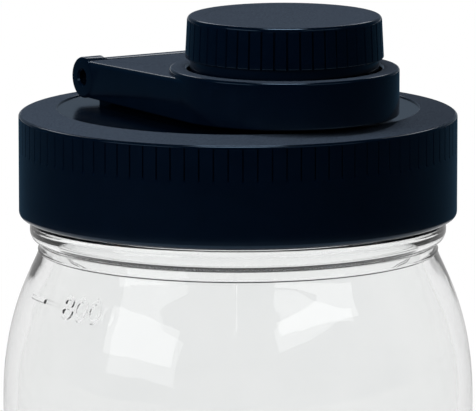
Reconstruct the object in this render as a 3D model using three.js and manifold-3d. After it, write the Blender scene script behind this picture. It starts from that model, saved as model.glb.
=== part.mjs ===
// Mason jar with a pour lid: a glass jar, a screw lid with an off-centre spout, and a hinged collar that
// keeps a ribbed screw cap. Millimetres, +Z up. The origin is the centre of the jar's base. The spout lies
// towards -Y and the hinge towards +Y. At rest the small cap is turned loose, so that the collar is free to
// swing up.
import * as THREE from 'three';
import { mergeVertices } from 'three/addons/utils/BufferGeometryUtils.js';
import Module from 'manifold-3d';

const wasm = await Module();
wasm.setup();

// Glass jar
const JAR_HEIGHT = 171.5;
const BODY_RADIUS = 50;
const BODY_WALL = 3.2;
const BASE_CORNER = 9;
const BASE_WALL = 4.5;
const PUSH_UP = 2.5;
const FOOT_WIDTH = 4.5;
const NECK_RADIUS = 42.3;
const NECK_DROP = 24.8;
const SHOULDER_DROP = 58.5;
const SHOULDER_BULGE = 0.4;
const SHOULDER_PULL = 20.2;
const COVE_REACH = 4.4;
const COVE_FLARE = 1.4;
const BEAD_RADIUS = 44.2;
const BEAD_HEIGHT = 3.9;
const FINISH_HEIGHT = 18.2;
const FINISH_RADIUS = 41.6;
const FINISH_WALL = 3.6;
const RIM_ROUND = 1.2;

// Thread between the jar and the lid
const JAR_PITCH = 6.35;
const JAR_THREAD_DEPTH = 1.4;
const JAR_THREAD_WIDTH = 2.2;
const JAR_THREAD_TURNS = 1.15;
const JAR_THREAD_DROP = 4.6;
const LID_THREAD_TURNS = 0.95;
const LID_THREAD_CLEARANCE = 0.6;

// Lid gasket
const SEAL_GAP = 0.2;
const GASKET_THICKNESS = 1.6;
const GASKET_OVERLAP = 0.9;

// Screw lid
const LID_WALL = 2.9;
const LID_EDGE_WALL = 2.35;
const LID_CROWN = 1.3;
const LID_DECK_RADIUS = 38.3;
const LID_DECK_WALL = 2.4;
const LID_BEAD_GAP = 0.8;
const LID_FOOT_ROUND = 1.1;
const LID_GROOVES = 96;
const LID_GROOVE_DEPTH = 0.4;
const LID_GROOVE_SHARE = 0.7;
const LID_GROOVE_LENGTH = 7.8;

// Pour spout
const SPOUT_OFFSET = 18.7;
const SPOUT_BORE = 13.8;
const SPOUT_WALL = 2.4;
const SPOUT_LIP_HEIGHT = 2;
const SPOUT_LIP_TAPER = 0.7;
const SPOUT_LIP_ROUND = 0.3;

// Thread between the spout and the cap: one turn frees the cap
const CAP_PITCH = 1.9;
const CAP_THREAD_DEPTH = 0.9;
const CAP_THREAD_WIDTH = 0.7;
const CAP_THREAD_TURNS = 0.9;
const CAP_THREAD_CLEARANCE = 0.4;
const CAP_SWING_CLEARANCE = 1.1;

// Ribbed cap and its retaining ring
const CAP_NECK_WALL = 1.6;
const CAP_TOP_WALL = 1.8;
const CAP_HEAD_HEIGHT = 8.8;
const CAP_HEAD_OVERHANG = 0.45;
const CAP_HEAD_TAPER = 0.45;
const CAP_EDGE_ROUND = 0.8;
const CAP_RIBS = 48;
const CAP_RIB_DEPTH = 0.35;
const CAP_SEAT_GAP = 0.2;
const LINER_THICKNESS = 1.3;
const LINER_EDGE_GAP = 0.5;
const RETAINER_HEIGHT = 1.5;
const RETAINER_GRIP = 1;
const RETAINER_GROOVE = 0.5;
const RETAINER_GAP = 0.3;
const CAP_TAIL_HEIGHT = 0.8;

// Hinged collar
const COLLAR_SLIP = 0.6;
const COLLAR_WALL = 2.1;
const COLLAR_LIP_HEIGHT = 2;
const COLLAR_RISE = 2.1;
const COLLAR_ROUND = 0.6;
const COLLAR_FOOT_ROUND = 0.5;
const PLATE_GAP = 0.95;
const PLATE_HEIGHT = 7.8;
const PLATE_RISE = 1.1;
const PLATE_WALL = 2;

// Hinge
const HINGE_OFFSET = 24.3;
const HINGE_DECK_GAP = 0.65;
const KNUCKLE_RADIUS = 4.4;
const KNUCKLE_WIDTH = 4.7;
const KNUCKLE_GAP = 0.6;
const LUG_RADIUS = 3.9;
const LUG_CLEARANCE = 0.55;
const LUG_STEM_HALF = 2.4;
const PIN_RADIUS = 1.45;
const PIN_CLEARANCE = 0.15;
const PIN_RECESS = 2.2;

// Fineness of the round faces, how far joined shapes reach into each other, and how far the middle of a
// quarter round lies from both its walls
const ROUND_SEGMENTS = 48;
const HOLE_SEGMENTS = 20;
const CURVE_STEPS = 5;
const THREAD_STEPS = 32;
const THREAD_TIP_SHARE = 0.45;
const THREAD_FADE = 0.12;
const THREAD_END = 0.05;
const OVERLAP = 0.4;
const ARC_MIDDLE = 1 - Math.SQRT1_2;

// Heights and radii that follow from the sizes above
const finishBottom = JAR_HEIGHT - FINISH_HEIGHT;
const mouthRadius = FINISH_RADIUS - FINISH_WALL;
const gasketBottom = JAR_HEIGHT + SEAL_GAP;
const lidCeiling = gasketBottom + GASKET_THICKNESS + SEAL_GAP;
const lidEdge = lidCeiling + LID_EDGE_WALL;
const lidBottom = finishBottom + LID_BEAD_GAP;
const lidInner = FINISH_RADIUS + JAR_THREAD_DEPTH + LID_THREAD_CLEARANCE;
const lidRadius = lidInner + LID_WALL;
const deckTop = lidEdge + LID_CROWN;
const deckUnderside = deckTop - LID_DECK_WALL;

const spoutRadius = SPOUT_BORE + SPOUT_WALL;
const capInner = spoutRadius + CAP_THREAD_DEPTH + CAP_SWING_CLEARANCE;
const capNeckRadius = capInner + CAP_NECK_WALL;
const collarMouth = capNeckRadius + COLLAR_SLIP;
const retainerRadius = collarMouth + RETAINER_GRIP;
const collarInner = retainerRadius + COLLAR_SLIP;
const collarRadius = collarInner + COLLAR_WALL;
const capHeadRadius = collarMouth + CAP_HEAD_OVERHANG;

const plateBottom = deckTop + PLATE_GAP;
const plateTop = plateBottom + PLATE_HEIGHT;
const collarTop = plateTop + COLLAR_RISE;
const retainerTop = collarTop - COLLAR_LIP_HEIGHT - RETAINER_GAP;
const retainerBottom = retainerTop - RETAINER_HEIGHT;
const capTail = retainerBottom - RETAINER_GAP - CAP_TAIL_HEIGHT;
const headBottom = collarTop + CAP_SEAT_GAP + CAP_PITCH;
const headTop = headBottom + CAP_HEAD_HEIGHT;
const capCeiling = headTop - CAP_TOP_WALL;
const linerBottom = capCeiling - SEAL_GAP - LINER_THICKNESS;
const spoutTop = linerBottom - CAP_PITCH - SEAL_GAP;
const hingeHeight = deckTop + HINGE_DECK_GAP + KNUCKLE_RADIUS;
const lugHalfLength = collarRadius - KNUCKLE_WIDTH - KNUCKLE_GAP;

// Materials
const glass = new THREE.MeshStandardMaterial({ color: 0xdfe6e6, roughness: 0.05, metalness: 0 });
const plastic = new THREE.MeshStandardMaterial({ color: 0x0b0e16, roughness: 0.45, metalness: 0 });
const silicone = new THREE.MeshStandardMaterial({ color: 0xd8d8d2, roughness: 0.6, metalness: 0 });
const steel = new THREE.MeshStandardMaterial({ color: 0xa9abb0, roughness: 0.3, metalness: 1 });

// Turns a closed geometry into a solid with its faces outwards.
function solid(geometry) {
  geometry.deleteAttribute('normal');
  geometry.deleteAttribute('uv');
  const merged = mergeVertices(geometry);
  const position = merged.getAttribute('position');
  const corner = (index) => new THREE.Vector3().fromBufferAttribute(position, index);
  const triangles = [];
  let volume = 0;
  for (let i = 0; i < merged.index.count; i += 3) {
    const [a, b, c] = [0, 1, 2].map((k) => merged.index.getX(i + k));
    if (a === b || b === c || c === a) continue;
    triangles.push(a, b, c);
    volume += corner(a).dot(corner(b).cross(corner(c)));
  }
  if (volume < 0) triangles.reverse();
  const vertProperties = Float32Array.from(position.array);
  const triVerts = Uint32Array.from(triangles);
  return new wasm.Manifold(new wasm.Mesh({ numProp: 3, vertProperties, triVerts }));
}

// Revolves a closed or axis-to-axis outline of [radius, height] points about an upright axis at depth y.
function revolve(points, y = 0) {
  const outline = points.map((p) => (Array.isArray(p) ? new THREE.Vector2(...p) : p));
  return solid(new THREE.LatheGeometry(outline, ROUND_SEGMENTS).rotateX(Math.PI / 2).translate(0, y, 0));
}

// A ring section as a closed outline.
function ring(inner, outer, bottom, top) {
  return [[inner, bottom], [outer, bottom], [outer, top], [inner, top], [inner, bottom]];
}

// The plate's body on its outline; its top rises from the hinge's axis to the spout's.
function risingPlate(outline) {
  const options = { depth: PLATE_HEIGHT, bevelEnabled: false, curveSegments: ROUND_SEGMENTS / 2 };
  const geometry = new THREE.ExtrudeGeometry(outline, options);
  const position = geometry.getAttribute('position');
  for (let i = 0; i < position.count; i += 1) {
    const forward = (HINGE_OFFSET - position.getY(i)) / (HINGE_OFFSET + SPOUT_OFFSET);
    position.setZ(i, position.getZ(i) * (1 + (PLATE_RISE / PLATE_HEIGHT) * forward));
  }
  return solid(geometry.translate(0, 0, plateBottom));
}

// A block between two corners.
function block(low, high) {
  const size = high.map((value, k) => value - low[k]);
  const centre = high.map((value, k) => (value + low[k]) / 2);
  return solid(new THREE.BoxGeometry(...size).translate(...centre));
}

// A rod along X on the hinge axis.
function hingeRod(radius, from, to, segments) {
  const rod = new THREE.CylinderGeometry(radius, radius, to - from, segments).rotateZ(Math.PI / 2);
  return solid(rod.translate((from + to) / 2, HINGE_OFFSET, hingeHeight));
}

// A helical ridge: its section is extruded along the turn, then wound round an upright axis at depth y.
function thread({ root, crest, width, pitch, turns, start, y = 0 }) {
  const tip = width * THREAD_TIP_SHARE;
  const section = new THREE.Shape([
    new THREE.Vector2(root, -width / 2),
    new THREE.Vector2(crest, -tip / 2),
    new THREE.Vector2(crest, tip / 2),
    new THREE.Vector2(root, width / 2),
  ]);
  const steps = Math.ceil(turns * THREAD_STEPS);
  const geometry = new THREE.ExtrudeGeometry(section, { depth: 1, steps, bevelEnabled: false });
  const position = geometry.getAttribute('position');
  for (let i = 0; i < position.count; i += 1) {
    const along = position.getZ(i);
    const angle = along * turns * 2 * Math.PI;
    const rise = Math.min(1, along / THREAD_FADE, (1 - along) / THREAD_FADE);
    const radius = root + (position.getX(i) - root) * Math.max(THREAD_END, rise);
    const height = start + position.getY(i) + pitch * turns * along;
    position.setXYZ(i, radius * Math.cos(angle), y + radius * Math.sin(angle), height);
  }
  return solid(geometry);
}

// A ring whose outside is ribbed all round: lands at `outer`, valleys `depth` lower.
function ribbedRing({ inner, outer, depth, count, valleyShare, bottom, height, taper = 0, y = 0 }) {
  const pitch = (2 * Math.PI) / count;
  const points = [];
  for (let i = 0; i < count; i += 1) {
    const at = (radius, turn) => new THREE.Vector2(radius * Math.cos(turn), radius * Math.sin(turn));
    const middle = i * pitch;
    points.push(at(outer - depth, middle));
    points.push(at(outer, middle + (pitch * valleyShare) / 2));
    points.push(at(outer, middle + pitch * (1 - valleyShare / 2)));
  }
  const shape = new THREE.Shape(points);
  shape.holes.push(new THREE.Path().absarc(0, 0, inner, 0, 2 * Math.PI, true));
  const options = { depth: height, bevelEnabled: false, curveSegments: ROUND_SEGMENTS / 4 };
  const geometry = new THREE.ExtrudeGeometry(shape, options);
  const position = geometry.getAttribute('position');
  for (let i = 0; i < position.count; i += 1) {
    const scale = 1 - (taper / outer) * (position.getZ(i) / height);
    position.setXY(i, position.getX(i) * scale, position.getY(i) * scale);
  }
  return solid(geometry.translate(0, y, bottom));
}

// A named mesh of a finished solid.
function part(name, shape, material) {
  const { vertProperties, triVerts } = shape.getMesh();
  const geometry = new THREE.BufferGeometry();
  geometry.setAttribute('position', new THREE.BufferAttribute(vertProperties, 3));
  geometry.setIndex(new THREE.BufferAttribute(triVerts, 1));
  geometry.computeVertexNormals();
  const mesh = new THREE.Mesh(geometry, material);
  mesh.name = name;
  return mesh;
}

// Glass jar: base, body, shoulder, cove, bead, threaded finish and mouth, then back down the inside.
function glassJar() {
  const shoulder = JAR_HEIGHT - SHOULDER_DROP;
  const neck = JAR_HEIGHT - NECK_DROP;
  const footOuter = BODY_RADIUS - BASE_CORNER;
  const floor = PUSH_UP + BASE_WALL;
  const innerRadius = BODY_RADIUS - BODY_WALL;
  const innerCorner = BASE_CORNER - BODY_WALL;
  const outline = new THREE.Path();
  outline.moveTo(0, PUSH_UP);
  outline.quadraticCurveTo(footOuter / 2, PUSH_UP, footOuter - FOOT_WIDTH, 0);
  outline.lineTo(footOuter, 0);
  outline.absarc(footOuter, BASE_CORNER, BASE_CORNER, -Math.PI / 2, 0, false);
  outline.lineTo(BODY_RADIUS, shoulder);
  outline.bezierCurveTo(
    BODY_RADIUS + SHOULDER_BULGE, shoulder + SHOULDER_PULL,
    NECK_RADIUS + COVE_FLARE, neck - COVE_REACH,
    NECK_RADIUS, neck,
  );
  outline.lineTo(NECK_RADIUS, finishBottom - BEAD_HEIGHT);
  const beadCentre = finishBottom - BEAD_HEIGHT / 2;
  const beadReach = BEAD_RADIUS - NECK_RADIUS;
  outline.absellipse(
    NECK_RADIUS, beadCentre, beadReach, BEAD_HEIGHT / 2, -Math.PI / 2, Math.PI / 2, false, 0,
  );
  outline.lineTo(FINISH_RADIUS, finishBottom);
  const rim = JAR_HEIGHT - RIM_ROUND;
  outline.lineTo(FINISH_RADIUS, rim);
  outline.lineTo(FINISH_RADIUS - RIM_ROUND, JAR_HEIGHT);
  outline.lineTo(mouthRadius + RIM_ROUND, JAR_HEIGHT);
  outline.lineTo(mouthRadius, rim);
  outline.lineTo(mouthRadius, finishBottom - BEAD_HEIGHT);
  outline.bezierCurveTo(
    mouthRadius, neck - COVE_REACH,
    innerRadius, shoulder + SHOULDER_PULL,
    innerRadius, shoulder,
  );
  outline.lineTo(innerRadius, floor + innerCorner);
  outline.lineTo(innerRadius - innerCorner, floor);
  outline.lineTo(0, floor);
  const ridge = thread({
    root: FINISH_RADIUS - OVERLAP,
    crest: FINISH_RADIUS + JAR_THREAD_DEPTH,
    width: JAR_THREAD_WIDTH,
    pitch: JAR_PITCH,
    turns: JAR_THREAD_TURNS,
    start: jarThreadStart(),
  });
  return revolve(outline.getPoints(CURVE_STEPS)).add(ridge);
}

// Height of the middle of the jar's thread at its lower end.
function jarThreadStart() {
  return JAR_HEIGHT - JAR_THREAD_DROP - JAR_PITCH * JAR_THREAD_TURNS;
}

function lidGasket() {
  const inner = mouthRadius - GASKET_OVERLAP;
  const outer = FINISH_RADIUS + GASKET_OVERLAP;
  return revolve(ring(inner, outer, gasketBottom, gasketBottom + GASKET_THICKNESS));
}

// Screw lid: skirt, sloping ring and deck, with its thread, grooves, spout and middle hinge knuckle.
function screwLid() {
  const sealStep = mouthRadius - GASKET_OVERLAP - OVERLAP;
  const grooveFloor = lidRadius - LID_GROOVE_DEPTH;
  const shell = revolve([
    [0, deckUnderside],
    [sealStep, deckUnderside],
    [sealStep, lidCeiling],
    [lidInner, lidCeiling],
    [lidInner, lidBottom],
    [lidRadius - LID_FOOT_ROUND, lidBottom],
    [lidRadius - LID_FOOT_ROUND * ARC_MIDDLE, lidBottom + LID_FOOT_ROUND * ARC_MIDDLE],
    [lidRadius, lidBottom + LID_FOOT_ROUND],
    [lidRadius, lidEdge - LID_GROOVE_LENGTH],
    [grooveFloor, lidEdge - LID_GROOVE_LENGTH],
    [grooveFloor, lidEdge],
    [LID_DECK_RADIUS, deckTop],
    [0, deckTop],
  ]);
  const grooves = ribbedRing({
    inner: lidInner + LID_WALL / 2,
    outer: lidRadius,
    depth: LID_GROOVE_DEPTH,
    count: LID_GROOVES,
    valleyShare: LID_GROOVE_SHARE,
    bottom: lidEdge - LID_GROOVE_LENGTH - OVERLAP,
    height: LID_GROOVE_LENGTH + OVERLAP,
  });
  const ridge = thread({
    root: lidInner + OVERLAP,
    crest: lidInner - JAR_THREAD_DEPTH,
    width: JAR_THREAD_WIDTH,
    pitch: JAR_PITCH,
    turns: LID_THREAD_TURNS,
    start: jarThreadStart() - JAR_PITCH / 2,
  });
  const bore = revolve([
    [0, deckUnderside - OVERLAP],
    [SPOUT_BORE, deckUnderside - OVERLAP],
    [SPOUT_BORE, spoutTop + OVERLAP],
    [0, spoutTop + OVERLAP],
  ], -SPOUT_OFFSET);
  return shell.add(grooves).add(ridge).add(spout()).subtract(bore).add(hingeLug());
}

function spoutThreadStart() {
  return spoutTop - SPOUT_LIP_HEIGHT - CAP_PITCH * CAP_THREAD_TURNS;
}

// Spout tube with a thinner pouring lip above its thread.
function spout() {
  const lipRadius = spoutRadius - SPOUT_LIP_TAPER;
  const tube = revolve([
    [SPOUT_BORE - OVERLAP, deckUnderside + OVERLAP],
    [spoutRadius, deckUnderside + OVERLAP],
    [spoutRadius, spoutTop - SPOUT_LIP_HEIGHT],
    [lipRadius, spoutTop - SPOUT_LIP_ROUND],
    [lipRadius - SPOUT_LIP_ROUND, spoutTop],
    [SPOUT_BORE - OVERLAP, spoutTop],
    [SPOUT_BORE - OVERLAP, deckUnderside + OVERLAP],
  ], -SPOUT_OFFSET);
  const ridge = thread({
    root: spoutRadius - OVERLAP,
    crest: spoutRadius + CAP_THREAD_DEPTH,
    width: CAP_THREAD_WIDTH,
    pitch: CAP_PITCH,
    turns: CAP_THREAD_TURNS,
    start: spoutThreadStart(),
    y: -SPOUT_OFFSET,
  });
  return tube.add(ridge);
}

// Long middle knuckle on a stem that stands on the deck.
function hingeLug() {
  const stem = block(
    [-lugHalfLength, HINGE_OFFSET - LUG_STEM_HALF, deckTop - OVERLAP],
    [lugHalfLength, HINGE_OFFSET + LUG_STEM_HALF, hingeHeight],
  );
  const barrel = hingeRod(LUG_RADIUS, -lugHalfLength, lugHalfLength, ROUND_SEGMENTS / 2);
  return stem.add(barrel).subtract(pinHole());
}

function pinHole() {
  return hingeRod(PIN_RADIUS + PIN_CLEARANCE, -collarRadius * 2, collarRadius * 2, HOLE_SEGMENTS);
}

function hingePin() {
  const half = collarRadius - PIN_RECESS;
  return hingeRod(PIN_RADIUS, -half, half, HOLE_SEGMENTS);
}

// Hinged collar: a plate with a round front, hollow underneath, a lipped collar ring and two end knuckles.
function capCollar() {
  const front = collarRadius - OVERLAP;
  const clearRadius = LUG_RADIUS + LUG_CLEARANCE;
  const slotHalf = lugHalfLength + KNUCKLE_GAP;
  const far = collarRadius * 2;
  const outline = new THREE.Shape();
  outline.moveTo(-collarRadius, HINGE_OFFSET);
  outline.lineTo(-collarRadius, -SPOUT_OFFSET);
  outline.lineTo(-front, -SPOUT_OFFSET);
  outline.absarc(0, -SPOUT_OFFSET, front, Math.PI, 2 * Math.PI, false);
  outline.lineTo(collarRadius, -SPOUT_OFFSET);
  outline.lineTo(collarRadius, HINGE_OFFSET);
  const core = revolve([
    [0, plateBottom - OVERLAP],
    [front, plateBottom - OVERLAP],
    [front, plateTop + OVERLAP],
    [0, plateTop + OVERLAP],
  ], -SPOUT_OFFSET);
  const hollow = block(
    [PLATE_WALL - collarRadius, -SPOUT_OFFSET, plateBottom - OVERLAP],
    [collarRadius - PLATE_WALL, HINGE_OFFSET - clearRadius - PLATE_WALL, plateTop - PLATE_WALL],
  ).subtract(core);
  const lipBottom = collarTop - COLLAR_LIP_HEIGHT;
  const collar = revolve([
    [collarInner, plateBottom],
    [collarRadius - COLLAR_FOOT_ROUND, plateBottom],
    [collarRadius, plateBottom + COLLAR_FOOT_ROUND],
    [collarRadius, collarTop - COLLAR_ROUND],
    [collarRadius - COLLAR_ROUND * ARC_MIDDLE, collarTop - COLLAR_ROUND * ARC_MIDDLE],
    [collarRadius - COLLAR_ROUND, collarTop],
    [collarMouth + COLLAR_ROUND, collarTop],
    [collarMouth, collarTop - COLLAR_ROUND],
    [collarMouth, lipBottom],
    [collarInner, lipBottom],
    [collarInner, plateBottom],
  ], -SPOUT_OFFSET);
  const bore = revolve([
    [0, plateBottom - OVERLAP],
    [collarInner + OVERLAP, plateBottom - OVERLAP],
    [collarInner + OVERLAP, collarTop + OVERLAP],
    [0, collarTop + OVERLAP],
  ], -SPOUT_OFFSET);
  const slotBack = block(
    [-slotHalf, HINGE_OFFSET - clearRadius, plateBottom - OVERLAP],
    [slotHalf, HINGE_OFFSET + far, hingeHeight],
  );
  const slotRound = hingeRod(clearRadius, -slotHalf, slotHalf, ROUND_SEGMENTS / 2);
  const knuckles = hingeRod(KNUCKLE_RADIUS, -collarRadius, collarRadius, ROUND_SEGMENTS / 2);
  return risingPlate(outline)
    .subtract(hollow)
    .subtract(bore)
    .add(collar)
    .add(knuckles)
    .subtract(slotBack)
    .subtract(slotRound)
    .subtract(pinHole());
}

// Ribbed cap: a cup with a rounded top edge, a plain neck through the collar and a groove for its ring.
function pourCap() {
  const headValley = capHeadRadius - CAP_RIB_DEPTH;
  const topValley = headValley - CAP_HEAD_TAPER;
  const grooveRadius = capNeckRadius - RETAINER_GROOVE;
  const outline = new THREE.Path();
  outline.moveTo(0, capCeiling);
  outline.lineTo(capInner, capCeiling);
  outline.lineTo(capInner, capTail);
  outline.lineTo(capNeckRadius, capTail);
  outline.lineTo(capNeckRadius, retainerBottom - RETAINER_GAP / 2);
  outline.lineTo(grooveRadius, retainerBottom - RETAINER_GAP / 2);
  outline.lineTo(grooveRadius, retainerTop + RETAINER_GAP / 2);
  outline.lineTo(capNeckRadius, retainerTop + RETAINER_GAP / 2);
  outline.lineTo(capNeckRadius, headBottom);
  outline.lineTo(headValley, headBottom);
  const roundStart = headTop - CAP_EDGE_ROUND;
  outline.lineTo(topValley, roundStart);
  outline.absarc(topValley - CAP_EDGE_ROUND, roundStart, CAP_EDGE_ROUND, 0, Math.PI / 2, false);
  outline.lineTo(0, headTop);
  const ribs = ribbedRing({
    inner: capNeckRadius - CAP_HEAD_TAPER,
    outer: capHeadRadius,
    depth: CAP_RIB_DEPTH,
    count: CAP_RIBS,
    valleyShare: 1,
    bottom: headBottom,
    height: CAP_HEAD_HEIGHT - CAP_EDGE_ROUND,
    taper: CAP_HEAD_TAPER,
    y: -SPOUT_OFFSET,
  });
  const ridge = thread({
    root: capInner + OVERLAP,
    crest: spoutRadius + CAP_THREAD_CLEARANCE,
    width: CAP_THREAD_WIDTH,
    pitch: CAP_PITCH,
    turns: CAP_THREAD_TURNS,
    start: spoutThreadStart() + CAP_PITCH / 2,
    y: -SPOUT_OFFSET,
  });
  return revolve(outline.getPoints(2), -SPOUT_OFFSET).add(ribs).add(ridge);
}

function capRetainer() {
  const inner = capNeckRadius - RETAINER_GROOVE + SEAL_GAP;
  return revolve(ring(inner, retainerRadius, retainerBottom, retainerTop), -SPOUT_OFFSET);
}

function capLiner() {
  const radius = capInner - LINER_EDGE_GAP;
  const top = linerBottom + LINER_THICKNESS;
  return revolve([[0, linerBottom], [radius, linerBottom], [radius, top], [0, top]], -SPOUT_OFFSET);
}

const jarWithPourLid = new THREE.Group();
jarWithPourLid.add(
  part('glass_jar', glassJar(), glass),
  part('lid_gasket', lidGasket(), silicone),
  part('screw_lid', screwLid(), plastic),
  part('hinge_pin', hingePin(), steel),
  part('cap_collar', capCollar(), plastic),
  part('pour_cap', pourCap(), plastic),
  part('cap_retainer', capRetainer(), plastic),
  part('cap_liner', capLiner(), silicone),
);

export default jarWithPourLid;
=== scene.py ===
# Looks for the mason jar with a pour lid: each solid of the frame gets a finer mesh and a finish of its own.
# Shapes are worked out in millimetres, in the frame's axes, and handed to Blender in metres.
import math

import bpy
import numpy as np
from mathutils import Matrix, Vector


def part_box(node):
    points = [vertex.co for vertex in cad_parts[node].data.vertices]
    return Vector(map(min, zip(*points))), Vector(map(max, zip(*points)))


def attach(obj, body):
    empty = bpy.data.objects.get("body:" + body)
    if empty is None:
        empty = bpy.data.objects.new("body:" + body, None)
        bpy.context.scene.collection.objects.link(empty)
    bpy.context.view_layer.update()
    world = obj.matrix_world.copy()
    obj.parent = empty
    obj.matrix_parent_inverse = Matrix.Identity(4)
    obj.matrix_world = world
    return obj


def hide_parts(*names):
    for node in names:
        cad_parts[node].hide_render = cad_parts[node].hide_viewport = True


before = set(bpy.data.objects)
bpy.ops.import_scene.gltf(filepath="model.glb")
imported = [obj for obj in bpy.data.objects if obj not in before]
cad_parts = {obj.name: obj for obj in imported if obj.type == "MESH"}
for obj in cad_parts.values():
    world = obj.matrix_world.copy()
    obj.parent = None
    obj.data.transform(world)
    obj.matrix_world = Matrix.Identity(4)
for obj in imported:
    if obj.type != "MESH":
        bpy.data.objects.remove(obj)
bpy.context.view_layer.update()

MM = 0.001
TURN = 2 * math.pi
MM3_PER_ML = 1000

# Camera of the photograph
PHOTO_WIDTH = 476
FOCAL_PIXELS = 6594
SENSOR_WIDTH = 36
CAMERA_AZIMUTH = -31.3
CAMERA_ELEVATION = 9.4
CAMERA_DISTANCE = 1400
CAMERA_AIM_DROP = 19.9
CAMERA_CLIP_END = 100

# Glass jar
BODY_WALL = 3.2
BASE_CORNER = 9
BASE_WALL = 4.5
PUSH_UP = 2.5
FOOT_WIDTH = 4.5
NECK_RADIUS = 42.3
NECK_DROP = 24.8
SHOULDER_DROP = 58.5
SHOULDER_BULGE = 0.4
SHOULDER_PULL = 20.2
COVE_REACH = 4.4
COVE_FLARE = 1.4
BEAD_RADIUS = 44.2
BEAD_HEIGHT = 3.9
BEAD_FILLET = 0.8
FINISH_HEIGHT = 18.2
FINISH_RADIUS = 41.6
FINISH_WALL = 3.6
RIM_ROUND = 1.2
BEAD_END_ANGLE = 84
PUSH_UP_RADII = (2, 9, 18, 26, 32)
JAR_FLOOR_RADII = (30, 18, 8, 2)

# Moulded marks on the glass: a scale of ticks and numbers, and the seams of the mould
SCALE_TOP = 139.1
SCALE_STEP_ML = 200
SCALE_SLICE = 0.1
SCALE_NUMBERS = ("800", "600", "400", "200")
TICK_ANGLE = 171.9
TICK_HALF = 3.5
NUMBER_ANGLE = 192.9
DIGIT_WIDTH = 2.9
DIGIT_HEIGHT = 3.9
DIGIT_PITCH = 4
STROKE_HALF = 0.5
STROKE_RISE = 0.3
SEAM_HALF = 0.35
SEAM_RISE = 0.12
SEAM_ANGLES = (58, 238)
SEAM_MARGIN = 0.6
TICK_MARGIN = 6
NUMBER_MARGIN = 9
NECK_SEAM_DROP = 24.5
NECK_SEAM_HALF = 0.3
NECK_SEAM_RISE = 0.22

# Thread between the jar and the lid
JAR_PITCH = 6.35
JAR_THREAD_DEPTH = 1.4
JAR_THREAD_WIDTH = 2.6
JAR_THREAD_TURNS = 1.15
JAR_THREAD_DROP = 4.6
LID_THREAD_TURNS = 0.95

# Share of a thread over which its ends fade, and how steeply its flanks rise
THREAD_FADE = 0.12
THREAD_FLANK = 1.6

# Seals
SEAL_GAP = 0.2
SEAL_ROUND = 0.35
SEAL_BEAD = 0.12
SEAL_WAVES = 3
SEAL_MARGIN = 1
LINER_GROOVE = 0.2
LINER_GROOVE_HALF = 1
LINER_FLAT_END = 1.2

# Screw lid
LID_WALL = 2.9
LID_EDGE_WALL = 2.35
LID_CROWN = 1.3
LID_DECK_RADIUS = 38.3
LID_DECK_WALL = 2.4
LID_DECK_STEP = 0.35
LID_FOOT_ROUND = 1.1
LID_EDGE_ROUND = 0.5
LID_STEP_ROUND = 0.3
LID_CONE_ANGLE = 80
LID_GROOVES = 96
LID_GROOVE_DEPTH = 0.24
LID_GROOVE_HALF = 0.19
LID_GROOVE_LENGTH = 7.8
LID_GROOVE_START = 0.02
LID_GROOVE_END = 0.8
GASKET_STEP = 0.4

# Pour spout
SPOUT_BORE = 13.8
SPOUT_WALL = 2.4
SPOUT_LIP_HEIGHT = 2
SPOUT_LIP_TAPER = 0.7
SPOUT_LIP_ROUND = 0.5
SPOUT_FILLET = 0.8

# Thread between the spout and the cap
CAP_PITCH = 1.9
CAP_THREAD_DEPTH = 0.9
CAP_THREAD_WIDTH = 0.9
CAP_THREAD_TURNS = 0.9
CAP_SWING_CLEARANCE = 1.1
CAP_THREAD_CLEARANCE = 0.4

# Ribbed cap
CAP_NECK_WALL = 1.6
CAP_TOP_WALL = 1.8
CAP_HEAD_HEIGHT = 8.8
CAP_HEAD_TAPER = 0.45
CAP_EDGE_ROUND = 0.8
CAP_FOOT_ROUND = 0.3
CAP_RIBS = 48
CAP_GROOVE_DEPTH = 0.3
CAP_GROOVE_HALF = 0.26
CAP_GROOVE_START = 0.02
CAP_TOP_RECESS = 0.12
CAP_RECESS_RADIUS = 16
CAP_RECESS_RAMP = 1
CAP_MIDDLE_RADII = (1.5, 8)
RETAINER_GROOVE = 0.5
RETAINER_GAP = 0.3
RETAINER_ROUND = 0.3

# Hinged collar
COLLAR_LIP_HEIGHT = 2
COLLAR_SLIP = 0.6
COLLAR_RISE = 2.1
COLLAR_ROUND = 0.6
PLATE_HEIGHT = 7.8
PLATE_RISE = 1.1
PLATE_WALL = 2
PLATE_ROUND = 1
PLATE_FOOT_ROUND = 0.4

# Hinge
KNUCKLE_RADIUS = 4.4
KNUCKLE_WIDTH = 4.7
KNUCKLE_GAP = 0.6
KNUCKLE_ROUND = 0.5
LUG_RADIUS = 3.9
LUG_CLEARANCE = 0.55
LUG_STEM_HALF = 2.4
LUG_FLARE = 0.8
LUG_ROUND = 0.4
PIN_CLEARANCE = 0.15
PIN_FLARE = 0.4
PIN_ROUND = 0.4

# Fineness of the meshes: rows in millimetres, columns in degrees or as a count round a full turn
JAR_ROW = 1.2
JAR_COLUMN = 0.9
MARK_ROW = 0.15
MARK_COLUMN = 0.22
FINISH_ROW = 0.8
LID_ROW = 2.4
LID_INNER_ROW = 3
LID_THREAD_ROW = 0.35
SPOUT_ROW = 2
SPOUT_THREAD_ROW = 0.15
CAP_ROW = 1.4
GROOVE_ROW = 0.1
ROUND_COLUMNS = 192
LINER_COLUMNS = 128
ROD_COLUMNS = 96
PIN_COLUMNS = 48

# Points along curves
SHOULDER_STEPS = 200
INSIDE_STEPS = 48
BEAD_POINTS = 24
SEAL_POINTS = 25
LINER_POINTS = 9
CONE_POINTS = 9
PLATE_SIDE_POINTS = 12
PLATE_FRONT_POINTS = 97

# How far shapes reach into each other where they join, and how far faces keep from falling together
OVERLAP = 0.3
SLIVER = 0.03

# Edges that stay crisp, and faces that count as level, which get the grain with its painted top light
SHARP_ANGLE = 35
LEVEL_FACE = 0.98


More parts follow.
